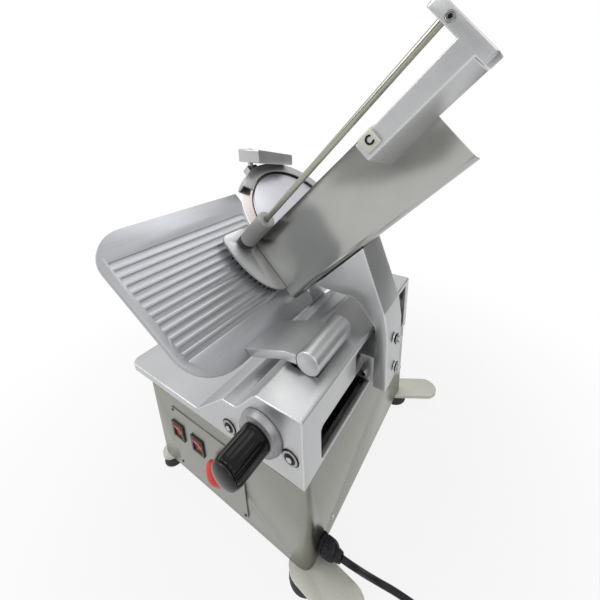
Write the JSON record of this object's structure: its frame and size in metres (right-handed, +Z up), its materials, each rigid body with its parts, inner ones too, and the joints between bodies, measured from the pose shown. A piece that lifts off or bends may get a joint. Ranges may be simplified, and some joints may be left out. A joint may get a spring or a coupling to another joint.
{
  "type": "meat slicer",
  "caption": "Automatic gravity slicer: box base with a cast top, inclined round blade and guard, ribbed gauge plate, sliding tray with a rod-guided pusher, thickness knob, switches and cord.",
  "frame": {"origin": "centre of the bottom of the bounding box, without the mains lead: the plane that the four feet stand on", "axes": "+Z up; -Y towards the front, where the switches and the thickness knob are; +X towards the tray side"},
  "size_m": [0.6272, 0.558, 0.6821],
  "materials": {
    "black_plastic": "satin black",
    "bronze": "machined",
    "cast": "satin cast aluminium",
    "dial_silver": "satin silver",
    "grey_plastic": "satin dark grey",
    "motor_paint": "satin dark grey paint",
    "red_plastic": "translucent red gloss",
    "rubber": "matt black",
    "stainless": "brushed stainless sheet, faintly warm",
    "steel": "ground and polished steel",
    "stone": "grey abrasive stone",
    "stop_red": "satin red"
  },
  "bodies": {
    "base": {"base_floor": "stainless", "base_shell": "stainless", "blade_belt": "rubber", "blade_cover": "stainless", "blade_motor": "motor_paint", "carriage_belt": "rubber", "control_panel": "stainless", "cord": "rubber", "cord_coil": "rubber", "cord_gland": "rubber", "drive_gearmotor": "cast", "foot_front_left": "rubber", "foot_front_right": "rubber", "foot_rear_left": "rubber", "foot_rear_right": "rubber", "gauge_rod": "steel", "guide_rod": "steel", "head_housing": "cast", "head_rear_cover": "stainless", "idler_post": "cast", "mains_plug": "black_plastic", "ring_guard": "stainless", "sharpener_post": "steel", "side_rod": "steel", "stabiliser_front_left": "cast", "stabiliser_front_right": "cast", "stabiliser_rear_left": "cast", "stabiliser_rear_right": "cast", "stop_collar": "black_plastic", "switch_bezel_1": "black_plastic", "switch_bezel_2": "black_plastic", "top_casting": "cast"},
    "carriage": {"slide_block": "cast", "carriage_arm": "cast", "tray": "stainless", "hand_guard": "stainless", "pusher_rod": "steel", "rod_bracket": "cast"},
    "pusher": {"sleeve_collar": "black_plastic", "pusher_sleeve": "cast", "presser_plate": "cast"},
    "gauge": {"gauge_plate": "stainless", "gauge_bracket": "cast"},
    "thickness_control": {"thickness_dial": "dial_silver", "thickness_knob": "black_plastic", "knob_cap": "grey_plastic", "spiral_cam": "bronze"},
    "blade_set": {"blade": "steel", "blade_shaft": "steel"},
    "motor_pulley": {"motor_pulley": "steel"},
    "drive_pulley": {"drive_pulley": "steel"},
    "idler_pulley": {"idler_pulley": "steel"},
    "sharpener": {"sharpener_box": "cast"},
    "stone_1": {"stone_1": "stone"},
    "stone_2": {"stone_2": "stone"},
    "rocker_1": {"rocker_1": "red_plastic"},
    "rocker_2": {"rocker_2": "red_plastic"},
    "stop_button": {"stop_button": "stop_red"}
  },
  "joints": [
    {"name": "carriage_slide", "type": "slide", "parent": "base", "child": "carriage", "axis": [0, 1, 0], "range_m": [-0.13, 0.1]},
    {"name": "pusher_slide", "type": "slide", "parent": "carriage", "child": "pusher", "axis": [0.7071, 0, 0.7071], "range_m": [0, 0.3]},
    {"name": "gauge_slide", "type": "slide", "parent": "base", "child": "gauge", "axis": [-1, 0, 0], "range_m": [0, 0.017]},
    {"name": "knob_turn", "type": "hinge", "parent": "base", "child": "thickness_control", "pos_m": [0.05932, -0.1993, 0.235], "axis": [0, -1, 0], "range_deg": [0, 300]},
    {"name": "blade_spin", "type": "hinge", "parent": "base", "child": "blade_set", "pos_m": [-0.11829, 0.1317, 0.38161], "axis": [0.7071, 0, 0.7071], "continuous": true},
    {"name": "motor_pulley_spin", "type": "hinge", "parent": "base", "child": "motor_pulley", "pos_m": [-0.07445, 0.1317, 0.33777], "axis": [0.7071, 0, 0.7071], "continuous": true},
    {"name": "drive_pulley_turn", "type": "hinge", "parent": "base", "child": "drive_pulley", "pos_m": [0.04532, 0.1187, 0.156], "axis": [1, 0, 0], "range_deg": [-380, 495]},
    {"name": "idler_pulley_turn", "type": "hinge", "parent": "base", "child": "idler_pulley", "pos_m": [0.04532, -0.1633, 0.156], "axis": [1, 0, 0], "range_deg": [-380, 495]},
    {"name": "sharpener_turn", "type": "hinge", "parent": "base", "child": "sharpener", "pos_m": [-0.21472, 0.1007, 0.48804], "axis": [0, 0, 1], "range_deg": [0, 180]},
    {"name": "stone_1_spin", "type": "hinge", "parent": "sharpener", "child": "stone_1", "pos_m": [-0.20222, 0.13058, 0.49131], "axis": [1, 0, 0], "continuous": true},
    {"name": "stone_2_spin", "type": "hinge", "parent": "sharpener", "child": "stone_2", "pos_m": [-0.20222, 0.16933, 0.48286], "axis": [1, 0, 0], "continuous": true},
    {"name": "rocker_1_tilt", "type": "hinge", "parent": "base", "child": "rocker_1", "pos_m": [-0.11968, -0.1991, 0.119], "axis": [1, 0, 0], "range_deg": [-18, 0]},
    {"name": "rocker_2_tilt", "type": "hinge", "parent": "base", "child": "rocker_2", "pos_m": [-0.07468, -0.1991, 0.119], "axis": [1, 0, 0], "range_deg": [-18, 0]},
    {"name": "stop_press", "type": "slide", "parent": "base", "child": "stop_button", "axis": [0, 1, 0], "range_m": [0, 0.005]}
  ],
  "couplings": [
    {"joint": "knob_turn", "follows": "gauge_slide", "rad_per_m": 307.99},
    {"joint": "motor_pulley_spin", "follows": "blade_spin", "ratio": 2.4563},
    {"joint": "drive_pulley_turn", "follows": "carriage_slide", "rad_per_m": -66.225},
    {"joint": "idler_pulley_turn", "follows": "carriage_slide", "rad_per_m": -66.225}
  ]
}
